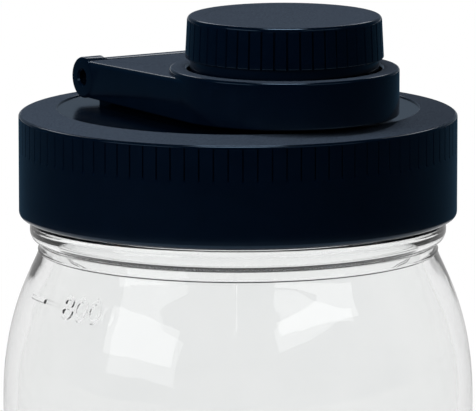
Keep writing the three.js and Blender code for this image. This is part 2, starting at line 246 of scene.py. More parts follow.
def corners(node):
    """Lowest and highest corner of a solid of the frame, in millimetres."""
    low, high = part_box(node)
    return [value / MM for value in low], [value / MM for value in high]


# Sizes and heights that the frame gives
_, jar_high = corners("glass_jar")
lid_low, lid_high = corners("screw_lid")
gasket_low, gasket_high = corners("lid_gasket")
_, collar_high = corners("cap_collar")
cap_low, cap_high = corners("pour_cap")
retainer_low, retainer_high = corners("cap_retainer")
liner_low, liner_high = corners("cap_liner")
pin_low, pin_high = corners("hinge_pin")

jar_top = jar_high[2]
body_radius = jar_high[0]
mouth_radius = FINISH_RADIUS - FINISH_WALL
finish_bottom = jar_top - FINISH_HEIGHT
bead_bottom = finish_bottom - BEAD_HEIGHT
neck_height = jar_top - NECK_DROP
neck_seam = jar_top - NECK_SEAM_DROP
shoulder_height = jar_top - SHOULDER_DROP
jar_thread_start = jar_top - JAR_THREAD_DROP - JAR_PITCH * JAR_THREAD_TURNS

lid_radius = lid_high[0]
lid_bottom = lid_low[2]
lid_inner = lid_radius - LID_WALL
lid_ceiling = gasket_high[2] + SEAL_GAP
lid_edge = lid_ceiling + LID_EDGE_WALL
deck_top = lid_edge + LID_CROWN
deck_level = deck_top - LID_DECK_STEP
deck_underside = deck_top - LID_DECK_WALL

spout_y = (liner_low[1] + liner_high[1]) / 2
spout_top = lid_high[2]
spout_radius = SPOUT_BORE + SPOUT_WALL
spout_thread_start = spout_top - SPOUT_LIP_HEIGHT - CAP_PITCH * CAP_THREAD_TURNS

cap_inner = spout_radius + CAP_THREAD_DEPTH + CAP_SWING_CLEARANCE
cap_neck_radius = cap_inner + CAP_NECK_WALL
cap_head_radius = cap_high[0]
head_top = cap_high[2]
head_bottom = head_top - CAP_HEAD_HEIGHT
cap_ceiling = head_top - CAP_TOP_WALL

collar_radius = collar_high[0]
collar_top = collar_high[2]
collar_mouth = cap_neck_radius + COLLAR_SLIP
collar_inner = retainer_high[0] + COLLAR_SLIP
plate_top = collar_top - COLLAR_RISE
plate_bottom = plate_top - PLATE_HEIGHT
hinge_y = (pin_low[1] + pin_high[1]) / 2
hinge_z = (pin_low[2] + pin_high[2]) / 2
pin_radius = (pin_high[2] - pin_low[2]) / 2
lug_half = collar_radius - KNUCKLE_WIDTH - KNUCKLE_GAP


def even_angles(count):
    """Angles of evenly spaced columns round a full turn."""
    return np.arange(count) * TURN / count


def ribbed_angles(count, half):
    """Angles of columns round a ribbed wall: three across each groove and three on the rib beside it."""
    rib = TURN / count - 2 * half
    places = [-half, 0, half] + [half + rib * share for share in (0.25, 0.5, 0.75)]
    return (even_angles(count)[:, None] + places).ravel()


def groove_share(angles, count, half):
    """Share of a groove's depth, for each column."""
    pitch = TURN / count
    off = np.abs((angles + pitch / 2) % pitch - pitch / 2)
    return np.clip(1 - off / half, 0, 1)


def ring(angles, radius, height, y=0.0):
    """Points round an upright axis at depth y; radius and height may differ from column to column."""
    level = np.broadcast_to(height, angles.shape)
    return np.stack([radius * np.cos(angles), y + radius * np.sin(angles), level], axis=1)


def arc(centre, radius, start, end, steps=6):
    """Outline points of a round between two angles in degrees."""
    turns = np.radians(np.linspace(start, end, steps + 1))
    return [(centre[0] + radius * math.cos(turn), centre[1] + radius * math.sin(turn)) for turn in turns]


def bezier(start, pull_start, pull_end, end, steps):
    """Outline points of a cubic curve."""
    a, b, c, d = (np.array(point, float) for point in (start, pull_start, pull_end, end))
    shares = np.linspace(0, 1, steps + 1)[:, None]
    rest = 1 - shares
    curve = rest ** 3 * a + 3 * rest ** 2 * shares * b + 3 * rest * shares ** 2 * c + shares ** 3 * d
    return [tuple(point) for point in curve]


def graded(low, high, coarse, fine, bands):
    """Positions from low to high, a coarse step apart, or a fine step apart inside the bands."""
    stops = [low]
    while stops[-1] < high:
        here = stops[-1]
        step = fine if any(start <= here < end for start, end in bands) else coarse
        ahead = [start for start, _ in bands if here < start < here + step]
        stops.append(min([here + step, high] + ahead))
    return stops


def ease(share):
    """A soft step from 0 to 1."""
    share = np.clip(share, 0, 1)
    return share * share * (3 - 2 * share)


def thread_rise(angles, height, start, pitch, turns, width):
    """Share of a thread's depth at a height, for each column of a right-handed thread with faded ends."""
    rise = np.zeros_like(angles)
    for lap in range(math.ceil(turns)):
        along = (angles % TURN) / TURN + lap
        inside = (along <= turns) * ease(np.minimum(along, turns - along) / (THREAD_FADE * turns))
        off = np.abs(height - start - pitch * along) / (width / 2)
        rise = np.maximum(rise, inside * ease((1 - off) * THREAD_FLANK))
    return rise


def add_piece(name, points, faces):
    """A mesh object from points in millimetres, with its faces outwards."""
    mesh = bpy.data.meshes.new(name)
    mesh.from_pydata((points * MM).tolist(), [], faces)
    mesh.calc_loop_triangles()
    triangles = np.empty(3 * len(mesh.loop_triangles), np.int32)
    mesh.loop_triangles.foreach_get("vertices", triangles)
    first, second, third = points[triangles.reshape(-1, 3)].transpose(1, 0, 2)
    if np.sum(first * np.cross(second, third)) < 0:
        mesh.flip_normals()
    piece = bpy.data.objects.new(name, mesh)
    bpy.context.scene.collection.objects.link(piece)
    return piece


def skin(name, rings, looped=False):
    """A closed mesh through rings of points: the last joins the first, or both ends close on a middle."""
    grid = np.array(rings)
    rows, columns, _ = grid.shape
    points = grid.reshape(-1, 3)
    index = np.arange(rows * columns).reshape(rows, columns)
    if looped:
        index = np.vstack([index, index[:1]])
    beside = np.roll(index, -1, axis=1)
    faces = np.stack([index[:-1], beside[:-1], beside[1:], index[1:]], axis=-1).reshape(-1, 4).tolist()
    if not looped:
        for ends in ((beside[0], index[0]), (index[-1], beside[-1])):
            middle = len(points)
            points = np.vstack([points, points[ends[0]].mean(axis=0)])
            faces += [[first, second, middle] for first, second in zip(*(end.tolist() for end in ends))]
    return add_piece(name, points, faces)


def revolved(name, outline, count, y=0.0, looped=False):
    """A round piece from an outline of (radius, height) points about an upright axis at depth y."""
    angles = even_angles(count)
    return skin(name, [ring(angles, radius, height, y) for radius, height in outline], looped)


def hinge_rod(name, outline, count=ROD_COLUMNS):
    """A round piece from an outline of (x, radius) points about the hinge axis."""
    angles = even_angles(count)
    rings = []
    for x, radius in outline:
        across = hinge_y + radius * np.cos(angles)
        up = hinge_z + radius * np.sin(angles)
        rings.append(np.stack([np.broadcast_to(x, angles.shape), across, up], axis=1))
    return skin(name, rings)


def rod_outline(half, radius, rounding):
    """Outline of a rod with rounded ends, for hinge_rod."""
    left = arc((-half + rounding, radius - rounding), rounding, 180, 90)
    right = arc((half - rounding, radius - rounding), rounding, 90, 0)
    return left + right


def block(name, low, high):
    """A box between two corners."""
    def level(height):
        return [(x, y, height) for x, y in
                ((low[0], low[1]), (high[0], low[1]), (high[0], high[1]), (low[0], high[1]))]
    return skin(name, [level(low[2]), level(high[2])])


def combine(target, tool, operation):
    """Joins, cuts or trims a closed piece by another, which is used up."""
    change = target.modifiers.new("combine", "BOOLEAN")
    change.operation = operation
    change.solver = "EXACT"
    change.object = tool
    graph = bpy.context.evaluated_depsgraph_get()
    mesh = bpy.data.meshes.new_from_object(target.evaluated_get(graph))
    target.modifiers.clear()
    target.data = mesh
    bpy.data.objects.remove(tool)


def dress(piece, material, body, slot, *nodes):
    """Gives a piece its shading, finish and body, and hides the solids that it stands for."""
    piece.data.materials.clear()
    piece.data.materials.append(material)
    piece.data.shade_smooth()
    piece.data.set_sharp_from_angle(angle=math.radians(SHARP_ANGLE))
    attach(piece, body)
    if nodes:
        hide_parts(*nodes)


def paint_grain_and_top_light(piece, material, chosen):
    """Gives the upward faces of a piece whose middles are chosen, in millimetres, the finish of grain and
    painted top light.
    """
    piece.data.materials.append(material)
    for face in piece.data.polygons:
        if face.normal.z > LEVEL_FACE and chosen(face.center / MM):
            face.material_index = 1


# Finishes: darkest and lightest colour, and the ends of the roughness, between which a pattern blends
GLASS_COLOURS = (0.897, 0.904, 0.902), (0.911, 0.916, 0.914)
PLASTIC_COLOURS = (0.0002, 0.0011, 0.0034), (0.0003, 0.0014, 0.0042)
PLASTIC_ROUGHNESS = (0.12, 0.17)
PLASTIC_TINT = (0.42, 0.68, 1.0, 1)
# The grain's colours are painted top light: far lighter than the black plastic, and used on level faces only
GRAINED_LIT_TOP_COLOURS = (0.02, 0.029, 0.045), (0.039, 0.053, 0.075)
GRAINED_ROUGHNESS = (0.85, 0.95)
SILICONE_COLOURS = (0.66, 0.66, 0.63), (0.74, 0.74, 0.71)
SILICONE_ROUGHNESS = (0.5, 0.62)
STEEL_COLOURS = (0.5, 0.51, 0.53), (0.6, 0.61, 0.63)
STEEL_ROUGHNESS = (0.22, 0.36)

# Where a pattern starts and ends to turn from the dark to the light colour
BLEND_START = 0.35
BLEND_END = 0.65


def shader_of(name):
    """A new node material and its main shader."""
    material = bpy.data.materials.new(name)
    material.use_nodes = True
    return material, material.node_tree.nodes["Principled BSDF"]


def noise_of(material, scale, detail):
    """A noise pattern fixed to the object; scale counts its features per metre."""
    nodes = material.node_tree.nodes
    place = nodes.new("ShaderNodeTexCoord")
    noise = nodes.new("ShaderNodeTexNoise")
    noise.inputs["Scale"].default_value = scale
    noise.inputs["Detail"].default_value = detail
    material.node_tree.links.new(place.outputs["Object"], noise.inputs["Vector"])
    return noise.outputs["Fac"]


def colour_by(material, pattern, dark, light, socket):
    """Blends two colours by a pattern."""
    ramp = material.node_tree.nodes.new("ShaderNodeValToRGB")
    ramp.color_ramp.elements[0].position = BLEND_START
    ramp.color_ramp.elements[0].color = (*dark, 1)
    ramp.color_ramp.elements[1].position = BLEND_END
    ramp.color_ramp.elements[1].color = (*light, 1)
    material.node_tree.links.new(pattern, ramp.inputs["Fac"])
    material.node_tree.links.new(ramp.outputs["Color"], socket)


def value_by(material, pattern, low, high, socket):
    """Spreads a value between two ends by a pattern."""
    spread = material.node_tree.nodes.new("ShaderNodeMapRange")
    spread.inputs["To Min"].default_value = low
    spread.inputs["To Max"].default_value = high
    material.node_tree.links.new(pattern, spread.inputs["Value"])
    material.node_tree.links.new(spread.outputs["Result"], socket)


def bump_by(material, pattern, shader, depth):
    """Raises the surface by a pattern; depth is in metres."""
    bump = material.node_tree.nodes.new("ShaderNodeBump")
    bump.inputs["Strength"].default_value = 1.0
    bump.inputs["Distance"].default_value = depth
    material.node_tree.links.new(pattern, bump.inputs["Height"])
    material.node_tree.links.new(bump.outputs["Normal"], shader.inputs["Normal"])


def clear_glass():
    material, shader = shader_of("clear_glass")
    shader.inputs["Transmission Weight"].default_value = 1.0
    shader.inputs["IOR"].default_value = 1.5
    shader.inputs["Roughness"].default_value = 0.0
    ripple = noise_of(material, scale=70, detail=2)
    colour_by(material, ripple, *GLASS_COLOURS, shader.inputs["Base Color"])
    bump_by(material, ripple, shader, depth=0.00012)
    return material


def black_plastic():
    material, shader = shader_of("black_plastic")
    shader.inputs["Specular IOR Level"].default_value = 0.36
    shader.inputs["Specular Tint"].default_value = PLASTIC_TINT
    cloud = noise_of(material, scale=240, detail=3)
    colour_by(material, cloud, *PLASTIC_COLOURS, shader.inputs["Base Color"])
    value_by(material, cloud, *PLASTIC_ROUGHNESS, shader.inputs["Roughness"])
    bump_by(material, noise_of(material, scale=5200, detail=2), shader, depth=0.000003)
    return material


# Finish of level faces: real grain and roughness, with painted top light in its colour
def grained_lit_top_plastic():
    material, shader = shader_of("grained_lit_top_plastic")
    shader.inputs["Specular IOR Level"].default_value = 0.1
    cloud = noise_of(material, scale=240, detail=3)
    grain = noise_of(material, scale=2600, detail=2)
    colour_by(material, grain, *GRAINED_LIT_TOP_COLOURS, shader.inputs["Base Color"])
    value_by(material, cloud, *GRAINED_ROUGHNESS, shader.inputs["Roughness"])
    bump_by(material, grain, shader, depth=0.00003)
    return material


def white_silicone():
    material, shader = shader_of("white_silicone")
    shader.inputs["Subsurface Weight"].default_value = 0.25
    shader.inputs["Subsurface Scale"].default_value = 0.002
    cloud = noise_of(material, scale=300, detail=3)
    colour_by(material, cloud, *SILICONE_COLOURS, shader.inputs["Base Color"])
    value_by(material, cloud, *SILICONE_ROUGHNESS, shader.inputs["Roughness"])
    bump_by(material, noise_of(material, scale=3000, detail=2), shader, depth=0.00001)
    return material


def drawn_steel():
    material, shader = shader_of("drawn_steel")
    shader.inputs["Metallic"].default_value = 1.0
    cloud = noise_of(material, scale=900, detail=3)
    colour_by(material, cloud, *STEEL_COLOURS, shader.inputs["Base Color"])
    value_by(material, cloud, *STEEL_ROUGHNESS, shader.inputs["Roughness"])
    bump_by(material, noise_of(material, scale=6000, detail=2), shader, depth=0.000006)
    return material


# Moulded marks on the glass
def stroke(centre, reach, start=0.0, sweep=360.0, steps=20):
    """A bent line along an ellipse, in shares of a digit's width and height."""
    turns = np.radians(np.linspace(start, start + sweep, steps + 1))
    return [(centre[0] + reach[0] * math.cos(turn), centre[1] + reach[1] * math.sin(turn)) for turn in turns]


DIGIT_STROKES = {
    "0": [stroke((0.5, 0.5), (0.5, 0.5))],
    "2": [stroke((0.5, 0.72), (0.48, 0.28), 165, -195) + [(0.0, 0.0), (1.0, 0.0)]],
    "4": [[(0.75, 0.0), (0.75, 1.0), (0.0, 0.3), (1.0, 0.3)]],
    "6": [stroke((0.5, 0.3), (0.5, 0.3)), [(0.0, 0.3), (0.12, 0.66), (0.42, 0.93), (0.8, 1.0)]],
    "8": [stroke((0.5, 0.27), (0.5, 0.27)), stroke((0.5, 0.77), (0.42, 0.23))],
}


def scale_heights():
    """Heights of the scale's ticks, equal volumes apart, from the top tick down."""
    heights = np.arange(PUSH_UP + BASE_WALL, neck_height, SCALE_SLICE)
    inside = np.pi * inner_radius_at(heights) ** 2 * SCALE_SLICE
    filled = np.cumsum(inside) / MM3_PER_ML
    top = np.interp(SCALE_TOP, heights, filled)
    ticks = range(len(SCALE_NUMBERS))
    return [float(np.interp(top - SCALE_STEP_ML * tick, filled, heights)) for tick in ticks]


def mark_lines(heights):
    """Lines of all ticks and numbers, as (angle in degrees, height, line in millimetres round that point)."""
    lines = []
    for number, height in zip(SCALE_NUMBERS, heights):
        lines.append((TICK_ANGLE, height, [(-TICK_HALF, 0.0), (TICK_HALF, 0.0)]))
        for place, digit in enumerate(number):
            left = (place - len(number) / 2) * DIGIT_PITCH + (DIGIT_PITCH - DIGIT_WIDTH) / 2
            for line in DIGIT_STROKES[digit]:
                spot = [(left + x * DIGIT_WIDTH, (z - 0.5) * DIGIT_HEIGHT) for x, z in line]
                lines.append((NUMBER_ANGLE, height, spot))
    return lines


def line_distance(across, up, line):
    """Distance of points from a bent line."""
    nearest = np.full(across.shape, np.inf)
    for (x0, z0), (x1, z1) in zip(line, line[1:]):
        dx, dz = x1 - x0, z1 - z0
        share = np.clip(((across - x0) * dx + (up - z0) * dz) / (dx * dx + dz * dz), 0, 1)
        nearest = np.minimum(nearest, np.hypot(across - x0 - share * dx, up - z0 - share * dz))
    return nearest


def ridge(distance, half, rise):
    """Height of a round ridge at a distance from its middle."""
    return rise * np.clip(1 - (distance / half) ** 2, 0, 1)


def marks_rise(angles, radius, height, lines):
    """How far the moulded marks stand out at one height, for each column."""
    rise = np.zeros_like(angles)
    reach = DIGIT_HEIGHT / 2 + STROKE_HALF
    for angle, middle, line in lines:
        if abs(height - middle) > reach:
            continue
        off = (angles - math.radians(angle) + math.pi) % TURN - math.pi
        distance = line_distance(off * radius, np.full_like(angles, height - middle), line)
        rise = np.maximum(rise, ridge(distance, STROKE_HALF, STROKE_RISE))
    for angle in SEAM_ANGLES:
        off = (angles - math.radians(angle) + math.pi) % TURN - math.pi
        rise = np.maximum(rise, ridge(np.abs(off) * radius, SEAM_HALF, SEAM_RISE))
    return np.maximum(rise, ridge(abs(height - neck_seam), NECK_SEAM_HALF, NECK_SEAM_RISE))


# Glass jar
shoulder_curve = bezier(
    (body_radius, shoulder_height),
    (body_radius + SHOULDER_BULGE, shoulder_height + SHOULDER_PULL),
    (NECK_RADIUS + COVE_FLARE, neck_height - COVE_REACH),
    (NECK_RADIUS, neck_height),
    SHOULDER_STEPS,
)
inner_radius = body_radius - BODY_WALL
inner_curve = bezier(
    (inner_radius, shoulder_height),
    (inner_radius, shoulder_height + SHOULDER_PULL),
    (mouth_radius, neck_height - COVE_REACH),
    (mouth_radius, bead_bottom),
    INSIDE_STEPS,
)


def outer_radius_at(height):
    """Outside radius of the body and shoulder."""
    radii, heights = zip(*shoulder_curve)
    return np.interp(height, heights, radii)


def inner_radius_at(height):
    """Inside radius of the body and shoulder."""
    radii, heights = zip(*inner_curve)
    return np.interp(height, heights, radii)


def glass_jar():
    """The jar in one skin: base, marked body, bead and threaded finish, then down again inside."""
    heights = scale_heights()
    lines = mark_lines(heights)
    number_reach = DIGIT_HEIGHT / 2 + STROKE_HALF
    bands = [(height - number_reach, height + number_reach) for height in reversed(heights)]
    bands.append((neck_seam - NECK_SEAM_HALF, neck_seam + NECK_SEAM_HALF))
    rows = graded(BASE_CORNER, bead_bottom - BEAD_FILLET, JAR_ROW, MARK_ROW, bands)
    spans = [(angle - SEAM_MARGIN, angle + SEAM_MARGIN) for angle in SEAM_ANGLES]
    spans.append((TICK_ANGLE - TICK_MARGIN, NUMBER_ANGLE + NUMBER_MARGIN))
    bands = [(math.radians(start), math.radians(end)) for start, end in sorted(spans)]
    angles = np.array(graded(0.0, TURN, math.radians(JAR_COLUMN), math.radians(MARK_COLUMN), bands)[:-1])

    foot = body_radius - BASE_CORNER
    floor = PUSH_UP + BASE_WALL
    inner_corner = BASE_CORNER - BODY_WALL
    foot_inner = foot - FOOT_WIDTH
    base = [(radius, PUSH_UP * (1 - (radius / foot_inner) ** 2)) for radius in PUSH_UP_RADII]
    base += [(foot_inner, 0.0), (foot, 0.0)]
    base += arc((foot, BASE_CORNER), BASE_CORNER, -90, 0, steps=14)[1:-1]
    rings = [ring(angles, radius, height) for radius, height in base]
    for height in rows:
        radius = outer_radius_at(height)
        rings.append(ring(angles, radius + marks_rise(angles, radius, height, lines), height))

    bead_root = NECK_RADIUS + BEAD_FILLET
    bead_middle = finish_bottom - BEAD_HEIGHT / 2
    bead_reach = BEAD_RADIUS - bead_root
    bead = arc((bead_root, bead_bottom - BEAD_FILLET), BEAD_FILLET, 180, 90, steps=8)[1:]
    for turn in np.radians(np.linspace(-90, BEAD_END_ANGLE, BEAD_POINTS)[1:]):
        bead.append((bead_root + bead_reach * math.cos(turn), bead_middle + BEAD_HEIGHT / 2 * math.sin(turn)))
    rings += [ring(angles, radius, height) for radius, height in bead]
    for height in graded(finish_bottom, jar_top - RIM_ROUND, FINISH_ROW, FINISH_ROW, []):
        rise = thread_rise(angles, height, jar_thread_start, JAR_PITCH, JAR_THREAD_TURNS, JAR_THREAD_WIDTH)
        rings.append(ring(angles, FINISH_RADIUS + JAR_THREAD_DEPTH * rise, height))

    rim = jar_top - RIM_ROUND
    inside = arc((FINISH_RADIUS - RIM_ROUND, rim), RIM_ROUND, 15, 90, steps=5)
    inside += arc((mouth_radius + RIM_ROUND, rim), RIM_ROUND, 90, 180)
    inside += list(reversed(inner_curve))
    inside += arc((inner_radius - inner_corner, floor + inner_corner), inner_corner, 0, -90, steps=10)
    inside += [(radius, floor) for radius in JAR_FLOOR_RADII]
    rings += [ring(angles, radius, height) for radius, height in inside]
    return skin("jar_glass", rings)


# Seals
def lid_gasket():
    """A flat ring with low beads on its top."""
    inner, outer = mouth_radius - (gasket_high[0] - FINISH_RADIUS), gasket_high[0]
    bottom, top = gasket_low[2], gasket_high[2]
    outline = arc((outer - SEAL_ROUND, bottom + SEAL_ROUND), SEAL_ROUND, -90, 0)
    outline += arc((outer - SEAL_ROUND, top - SEAL_ROUND), SEAL_ROUND, 0, 90)
    for radius in np.linspace(outer - SEAL_MARGIN, inner + SEAL_MARGIN, SEAL_POINTS):
        wave = math.cos(TURN * SEAL_WAVES * (radius - inner) / (outer - inner))
        outline.append((radius, top + SEAL_BEAD * wave ** 2))
    outline += arc((inner + SEAL_ROUND, top - SEAL_ROUND), SEAL_ROUND, 90, 180)
    outline += arc((inner + SEAL_ROUND, bottom + SEAL_ROUND), SEAL_ROUND, 180, 270)
    return revolved("lid_seal_ring", outline, ROUND_COLUMNS, looped=True)


def cap_liner():
    """A disc with a groove where the spout's lip presses into it."""
    radius, bottom, top = liner_high[0], liner_low[2], liner_high[2]
    groove = (SPOUT_BORE + spout_radius - SPOUT_LIP_TAPER) / 2
    outline = [(share * (groove - LINER_FLAT_END), bottom) for share in (0.1, 0.5, 1)]
    for off in np.linspace(-1, 1, LINER_POINTS):
        outline.append((groove + LINER_GROOVE_HALF * off, bottom + LINER_GROOVE * (1 - off * off)))
    outline += arc((radius - SEAL_ROUND, bottom + SEAL_ROUND), SEAL_ROUND, -90, 0)
    outline += arc((radius - SEAL_ROUND, top - SEAL_ROUND), SEAL_ROUND, 0, 90)
    outline += [(share * radius, top) for share in (0.7, 0.1)]
    return revolved("cap_seal_disc", outline, LINER_COLUMNS, spout_y)


# Screw lid
def screw_lid():
    """The lid in one skin: spout, deck, sloping ring and grooved skirt, then back underneath."""
    groove_half = LID_GROOVE_HALF / lid_radius
    angles = ribbed_angles(LID_GROOVES, groove_half)
    grooves = LID_GROOVE_DEPTH * groove_share(angles, LID_GROOVES, groove_half)
    rings = []

    def round_spout(outline):
        rings.extend(ring(angles, radius, height, spout_y) for radius, height in outline)

    def round_lid(outline):
        rings.extend(ring(angles, radius, height) for radius, height in outline)

    def across_deck(spout_end, lid_end, height, shares):
        for share in shares:
            radius = spout_end + (lid_end - spout_end) * share
            rings.append(ring(angles, radius, height, spout_y * (1 - share)))

    lip = spout_radius - SPOUT_LIP_TAPER
    lip_bottom = spout_top - SPOUT_LIP_HEIGHT
    thread_top = spout_top - SPOUT_LIP_HEIGHT / 2
    round_spout([(SPOUT_BORE + OVERLAP, deck_underside), (SPOUT_BORE, deck_underside + OVERLAP)])
    round_spout(arc((SPOUT_BORE + SPOUT_LIP_ROUND, spout_top - SPOUT_LIP_ROUND), SPOUT_LIP_ROUND, 180, 90))
    round_spout(arc((lip - SPOUT_LIP_ROUND, spout_top - SPOUT_LIP_ROUND), SPOUT_LIP_ROUND, 90, 10))
    thread_band = [(spout_thread_start - CAP_THREAD_WIDTH, thread_top)]
    rows = graded(deck_level + SPOUT_FILLET, thread_top, SPOUT_ROW, SPOUT_THREAD_ROW, thread_band)
    for height in reversed(rows):
        taper = SPOUT_LIP_TAPER * np.clip((height - lip_bottom) / SPOUT_LIP_HEIGHT, 0, 1)
        rise = thread_rise(angles, height, spout_thread_start, CAP_PITCH, CAP_THREAD_TURNS, CAP_THREAD_WIDTH)
        rings.append(ring(angles, spout_radius - taper + CAP_THREAD_DEPTH * rise, height, spout_y))
    fillet = arc((spout_radius + SPOUT_FILLET, deck_level + SPOUT_FILLET), SPOUT_FILLET, 180, 270)
    round_spout(fillet[1:])
    across_deck(spout_radius + SPOUT_FILLET, LID_DECK_RADIUS, deck_level, (0.1, 0.3, 0.5, 0.7, 0.9, 1))

    slope = LID_CROWN / (lid_radius - LID_DECK_RADIUS)
    cone_start = LID_DECK_RADIUS + LID_STEP_ROUND
    cone_end = lid_radius - LID_EDGE_ROUND
    edge_start = lid_edge - LID_EDGE_ROUND
    step_start = deck_top - (1 + slope) * LID_STEP_ROUND
    round_lid(arc((cone_start, step_start), LID_STEP_ROUND, 180, LID_CONE_ANGLE, steps=5))
    for radius in np.linspace(cone_start + LID_STEP_ROUND, cone_end, CONE_POINTS):
        round_lid([(radius, deck_top - slope * (radius - LID_DECK_RADIUS))])
    round_lid(arc((cone_end, edge_start), LID_EDGE_ROUND, LID_CONE_ANGLE, 0, steps=8))
    groove_end = lid_edge - LID_GROOVE_LENGTH
    end_bands = [(groove_end, groove_end + LID_GROOVE_END), (edge_start - LID_GROOVE_START, edge_start)]
    rows = graded(lid_bottom + LID_FOOT_ROUND, edge_start, LID_ROW, GROOVE_ROW, end_bands)
    for height in reversed(rows[:-1]):
        fade = ease((edge_start - height) / LID_GROOVE_START) * ease((height - groove_end) / LID_GROOVE_END)
        rings.append(ring(angles, lid_radius - grooves * fade, height))
    round_lid(arc((lid_radius - LID_FOOT_ROUND, lid_bottom + LID_FOOT_ROUND), LID_FOOT_ROUND, 0, -90)[1:])
    round_lid(arc((lid_inner + OVERLAP, lid_bottom + OVERLAP), OVERLAP, -90, -180, steps=3))

    lid_thread_start = jar_thread_start - JAR_PITCH / 2
    thread_band = [(lid_thread_start - JAR_THREAD_WIDTH, lid_thread_start + JAR_PITCH + JAR_THREAD_WIDTH / 2)]
    rows = graded(lid_bottom + 2 * OVERLAP, lid_ceiling - OVERLAP, LID_INNER_ROW, LID_THREAD_ROW, thread_band)
    for height in rows:
        rise = thread_rise(angles, height, lid_thread_start, JAR_PITCH, LID_THREAD_TURNS, JAR_THREAD_WIDTH)
        rings.append(ring(angles, lid_inner - JAR_THREAD_DEPTH * rise, height))
    seal_step = mouth_radius - (gasket_high[0] - FINISH_RADIUS) - GASKET_STEP
    round_lid(arc((lid_inner - OVERLAP, lid_ceiling - OVERLAP), OVERLAP, 0, 90, steps=3)[1:])
    round_lid([(seal_step + OVERLAP / 2, lid_ceiling), (seal_step, lid_ceiling + OVERLAP / 2)])
    round_lid([(seal_step, deck_underside - OVERLAP), (seal_step - OVERLAP, deck_underside)])
    across_deck(SPOUT_BORE + 2 * OVERLAP, seal_step - 2 * OVERLAP, deck_underside, (1, 0.7, 0.4, 0))
    return skin("lid_shell", rings, looped=True)


def hinge_knuckle():
    """The lid's long middle knuckle on its flared stem."""
    barrel = hinge_rod("lid_knuckle", rod_outline(lug_half, LUG_RADIUS, LUG_ROUND))
    rings = []
    foot = deck_level - OVERLAP
    flare = arc((LUG_STEM_HALF + LUG_FLARE, deck_level + LUG_FLARE), LUG_FLARE, 270, 180)
    for half, height in [(LUG_STEM_HALF + LUG_FLARE, foot)] + flare + [(LUG_STEM_HALF, hinge_z)]:
        left, right = -lug_half + LUG_ROUND, lug_half - LUG_ROUND
        near, far = hinge_y - half, hinge_y + half
        rings.append([(left, near, height), (right, near, height), (right, far, height), (left, far, height)])
    combine(barrel, skin("stem", rings), "UNION")
    combine(barrel, pin_hole(), "DIFFERENCE")
    return barrel


def pin_hole():
    """A rod through the hinge, flared where it leaves the end knuckles."""
    bore = pin_radius + PIN_CLEARANCE
    flare = bore + PIN_FLARE
    end = collar_radius + SLIVER
    far = 2 * collar_radius
    left = [(-far, flare), (-end, flare), (PIN_FLARE - end, bore)]
    right = [(end - PIN_FLARE, bore), (end, flare), (far, flare)]
    return hinge_rod("pin_hole", left + right, PIN_COLUMNS)


def hinge_pin():
    return hinge_rod("pin_rod", rod_outline(pin_high[0], pin_radius, PIN_ROUND), PIN_COLUMNS)


# Hinged collar
def plate_outline(inset, height):
    """The plate's outline from above: straight sides and a round front, drawn in by an inset."""
    half = collar_radius - inset
    sides = np.linspace(hinge_y, spout_y, PLATE_SIDE_POINTS)[:-1]
    points = [(-half, y, height) for y in sides]
    for turn in np.radians(np.linspace(180, 360, PLATE_FRONT_POINTS)):
        points.append((half * math.cos(turn), spout_y + half * math.sin(turn), height))
    points += [(half, y, height) for y in sides[::-1]]
    return points


def rounded_plate():
    """The plate's body, whose top rises from the hinge to the spout."""
    rings = []
    foot_middle = (PLATE_FOOT_ROUND, plate_bottom + PLATE_FOOT_ROUND)
    for inset, height in arc(foot_middle, PLATE_FOOT_ROUND, 270, 180, steps=4):
        rings.append(plate_outline(inset, height))
    for inset, height in arc((PLATE_ROUND, plate_top - PLATE_ROUND), PLATE_ROUND, 180, 90, steps=12):
        outline = np.array(plate_outline(inset, height))
        outline[:, 2] += PLATE_RISE * (hinge_y - outline[:, 1]) / (hinge_y - spout_y)
        rings.append(outline)
    return skin("collar_shell", rings)


def collar_ring():
    """The round wall about the cap, with a lip at its top."""
    lip_bottom = collar_top - COLLAR_LIP_HEIGHT
    foot_middle = (collar_radius - PLATE_FOOT_ROUND, plate_bottom + PLATE_FOOT_ROUND)
    outline = [(collar_inner, plate_bottom)] + arc(foot_middle, PLATE_FOOT_ROUND, -90, 0)
    outline += arc((collar_radius - COLLAR_ROUND, collar_top - COLLAR_ROUND), COLLAR_ROUND, 0, 90, steps=12)
    outline += arc((collar_mouth + COLLAR_ROUND, collar_top - COLLAR_ROUND), COLLAR_ROUND, 90, 180)
    outline += [(collar_mouth, lip_bottom), (collar_inner, lip_bottom)]
    return revolved("ring", outline, ROUND_COLUMNS, spout_y, looped=True)


def collar_bore():
    low, high = plate_bottom - OVERLAP, collar_top + OVERLAP
    radius = collar_inner + OVERLAP
    return revolved("bore", [(radius, low), (radius, high)], ROUND_COLUMNS, spout_y)


